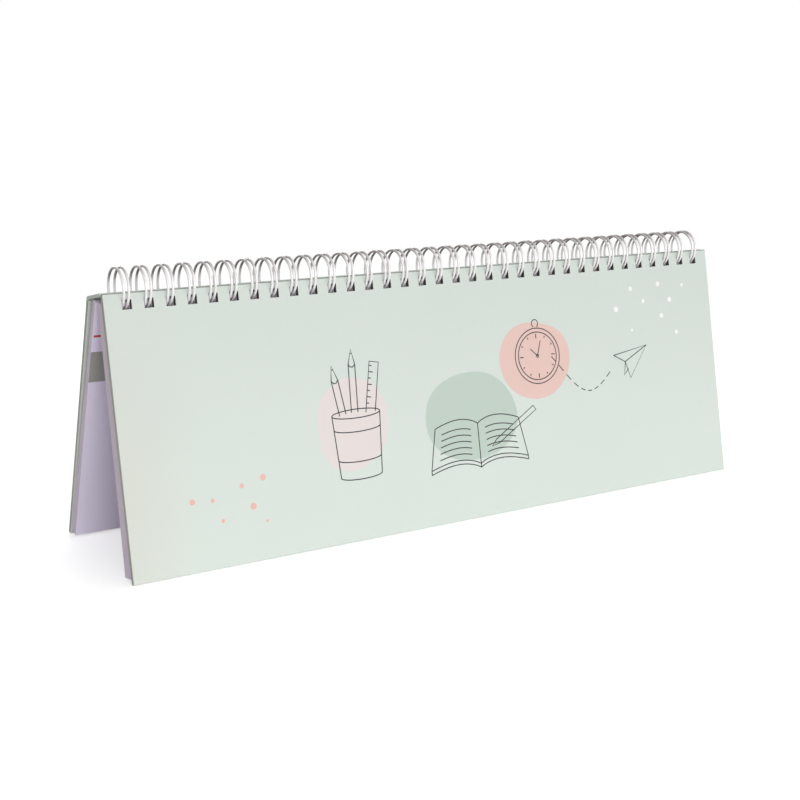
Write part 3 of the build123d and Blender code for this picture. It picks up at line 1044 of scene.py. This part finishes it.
class CALENDAR_OT_leaves(bpy.types.Operator):
    """Gives every leaf its paper and prints the leaves that can be seen"""

    bl_idname = "calendar.leaves"
    bl_label = "Leaves"

    # The body of each printed leaf, and the column that its first day stands in
    printed = {
        "front_leaf_01": ("first_leaf", 1),
        "front_leaf_02": ("second_leaf", 4),
        "front_leaf_03": ("front_leaves", 0),
        "back_leaf_01": ("back_leaves", 2),
    }
    band_drop, band_height, band_inset = 26.8 * MM, 13.0 * MM, 0.05 * MM
    mark_drop, mark_across, mark_size = 13.7 * MM, -146.2 * MM, (2.8 * MM, 0.9 * MM)
    grid_across, grid_drop, grid_size = 24.0 * MM, 67.0 * MM, (238.0 * MM, 58.0 * MM)
    columns, rows, days, line = 7, 5, 31, 0.25 * MM
    number_place = (0.14, 0.36)
    tooth, dullness = 0.16, 0.6

    def print_leaf(self, look, node, body, shift, inks, rules):
        """One printed side: heading band, short mark, day rules and day numbers."""
        leg = leaf_sheet(node)
        low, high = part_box(node)
        label = node.replace("leaf", "page")

        def spot(across, drop):
            return printing(leg, across, drop, INK_DEPTH)

        band_size = (high.x - low.x - 2 * self.band_inset, self.band_height)
        band = flat_block(label + "_band", *band_size, spot(0, self.band_drop))
        mark = flat_block(label + "_mark", *self.mark_size, spot(self.mark_across, self.mark_drop))
        width, height = self.grid_size
        middle = spot(self.grid_across, self.grid_drop)
        days = rules.grow(
            label + "_rules", bpy.data.meshes.new(label + "_rules"), middle, Columns=self.columns,
            Rows=self.rows, Width=width, Height=height, Line=self.line, Thickness=INK_THICKNESS,
            Material=inks["rule"],
        )
        cell = (width / self.columns, height / self.rows)
        entries = []
        for day in range(self.days):
            row, column = divmod((day + shift) % (self.columns * self.rows), self.columns)
            x = -width / 2 + (column + self.number_place[0]) * cell[0]
            y = height / 2 - (row + self.number_place[1]) * cell[1]
            entries.append((day + 1, x, y))
        figures = numbers(label + "_numbers", entries, look.number_size, middle)
        placed(band.name, band, [inks["band"]], body)
        placed(mark.name, mark, [inks["mark"]], body)
        placed(days.name, days, [], body)
        placed(figures.name, figures, [inks["number"]], body)

    def execute(self, context):
        look = context.scene.calendar_leaves
        paper = plain_paper("leaf_paper", look.paper, self.tooth)
        for node in frame["nodes"]:
            if "_leaf_" in node:
                dress(node, paper)
        shades = {"band": look.band, "rule": look.rule, "number": look.number, "mark": look.mark}
        inks = {name: printed_ink("leaf_" + name, shade, self.dullness) for name, shade in shades.items()}
        rules = grid_tree()
        for node, (body, shift) in self.printed.items():
            self.print_leaf(look, node, body, shift, inks, rules)
        return {"FINISHED"}


def seen_directly(nodes):
    """1 for rays that show the surface itself, in a mirror or through glass too."""
    camera = nodes.add("ShaderNodeLightPath", {}, {}, "Is Camera Ray")
    seen = nodes.sum("MAXIMUM", camera, camera.beside("Is Glossy Ray"))
    return nodes.sum("MAXIMUM", seen, camera.beside("Is Transmission Ray"))


class CALENDAR_OT_stage(bpy.types.Operator):
    """Sets up the pale floor, the soft light and the camera"""

    bl_idname = "calendar.stage"
    bl_label = "Stage"

    camera_place = (-0.3022, -0.4512, 0.1652)
    camera_turn = (radians(78.10), 0, radians(-31.52))
    camera_lens, camera_sensor = 57.65, 36
    camera_shift = (0.0326, -0.0179)
    camera_clip = (0.01, 50)
    floor_lift = 0.52
    floor_fade = (0.35, 0.8)
    # Place and width of each round lamp, and the point that they all face
    lamps = {
        "key": ((-0.42, -1.35, 0.36), 0.8),
        "fill": ((0.7, -1.1, 0.6), 1.0),
        "back": ((0.25, 1.3, 0.55), 1.0),
    }
    lamp_target = (0, 0, 0.05)

    def floor(self, look):
        """A floor that keeps the shadow, looks white where nothing shades it and fades out far away."""
        half = look.floor_size / 2
        corners = [(-half, -half, 0), (half, -half, 0), (half, half, 0), (-half, half, 0)]
        mesh = bpy.data.meshes.new("floor")
        mesh.from_pydata(corners, [], [(0, 1, 2, 3)])
        paint = Paint("floor")
        place = paint.spot()
        across, back, _ = paint.split(place)
        grain = paint.noise(place, 30, 3.0)
        tint = paint.mix(grain * 0.06, look.floor, darker(look.floor, 0.97))
        paint.finish(Base_Color=tint, Roughness=0.7, Specular_IOR_Level=0.2)
        matt = Value(paint, paint.shader.outputs[0])
        glow = paint.add("ShaderNodeEmission", {}, {"Strength": seen_directly(paint) * self.floor_lift})
        both = paint.add("ShaderNodeAddShader", {}, {0: matt, 1: glow})
        clear = paint.add("ShaderNodeBsdfTransparent", {}, {})
        far = ((across * across + back * back) ** 0.5).step(*self.floor_fade)
        faded = paint.add("ShaderNodeMixShader", {}, {0: far, 1: both, 2: clear})
        paint.fill(paint.tree.nodes["Material Output"], {"Surface": faded})
        mesh.materials.append(paint.material)
        floor = linked("floor", mesh)

    def lamp(self, name, place, width, watts):
        data = bpy.data.lights.new(name, "AREA")
        data.shape = "DISK"
        data.size = width
        data.energy = watts
        lamp = linked(name, data)
        lamp.location = place
        lamp.rotation_euler = (Vector(self.lamp_target) - Vector(place)).to_track_quat("-Z", "Y").to_euler()

    def surroundings(self, look):
        """White where it is seen, softer where it lights the calendar."""
        world = bpy.data.worlds.new("studio")
        bpy.context.scene.world = world
        world.use_nodes = True
        sky = Nodes(world.node_tree)
        strength = look.ambient + seen_directly(sky) * (1 - look.ambient)
        sky.fill(sky.tree.nodes["Background"], {"Color": (1, 1, 1), "Strength": strength})

    def camera(self):
        data = bpy.data.cameras.new("camera")
        data.lens = self.camera_lens
        data.sensor_width = self.camera_sensor
        data.shift_x, data.shift_y = self.camera_shift
        data.clip_start, data.clip_end = self.camera_clip
        camera = linked("camera", data)
        camera.location = self.camera_place
        camera.rotation_euler = self.camera_turn
        bpy.context.scene.camera = camera

    def execute(self, context):
        look = context.scene.calendar_stage
        context.scene.view_settings.view_transform = "Standard"
        self.floor(look)
        self.surroundings(look)
        for name, (place, width) in self.lamps.items():
            self.lamp(name, place, width, getattr(look, name + "_power"))
        self.camera()
        return {"FINISHED"}


PIECES = (
    CALENDAR_OT_front_cover,
    CALENDAR_OT_stand,
    CALENDAR_OT_spine,
    CALENDAR_OT_wire,
    CALENDAR_OT_cover_print,
    CALENDAR_OT_leaves,
    CALENDAR_OT_stage,
)
SETTINGS = {
    "calendar_cover": CoverSettings,
    "calendar_print": PrintSettings,
    "calendar_wire": WireSettings,
    "calendar_leaves": LeafSettings,
    "calendar_stage": StageSettings,
}


class CALENDAR_PT_sidebar(bpy.types.Panel):
    """Settings and builders of the calendar"""

    bl_idname = "CALENDAR_PT_sidebar"
    bl_label = "Desk Calendar"
    bl_space_type = "VIEW_3D"
    bl_region_type = "UI"
    bl_category = "Calendar"

    def draw(self, context):
        for name, settings in SETTINGS.items():
            box = self.layout.box()
            for key in settings.__annotations__:
                box.prop(getattr(context.scene, name), key)
        for operator in PIECES:
            self.layout.operator(operator.bl_idname)


def register():
    for settings in SETTINGS.values():
        bpy.utils.register_class(settings)
    for name, settings in SETTINGS.items():
        setattr(bpy.types.Scene, name, PointerProperty(type=settings))
    for operator in PIECES:
        bpy.utils.register_class(operator)
    bpy.utils.register_class(CALENDAR_PT_sidebar)


def unregister():
    bpy.utils.unregister_class(CALENDAR_PT_sidebar)
    for operator in reversed(PIECES):
        bpy.utils.unregister_class(operator)
    for name, settings in SETTINGS.items():
        delattr(bpy.types.Scene, name)
        bpy.utils.unregister_class(settings)


def main():
    register()
    for operator in PIECES:
        group, name = operator.bl_idname.split(".")
        getattr(getattr(bpy.ops, group), name)()


if __name__ == "__main__":
    main()
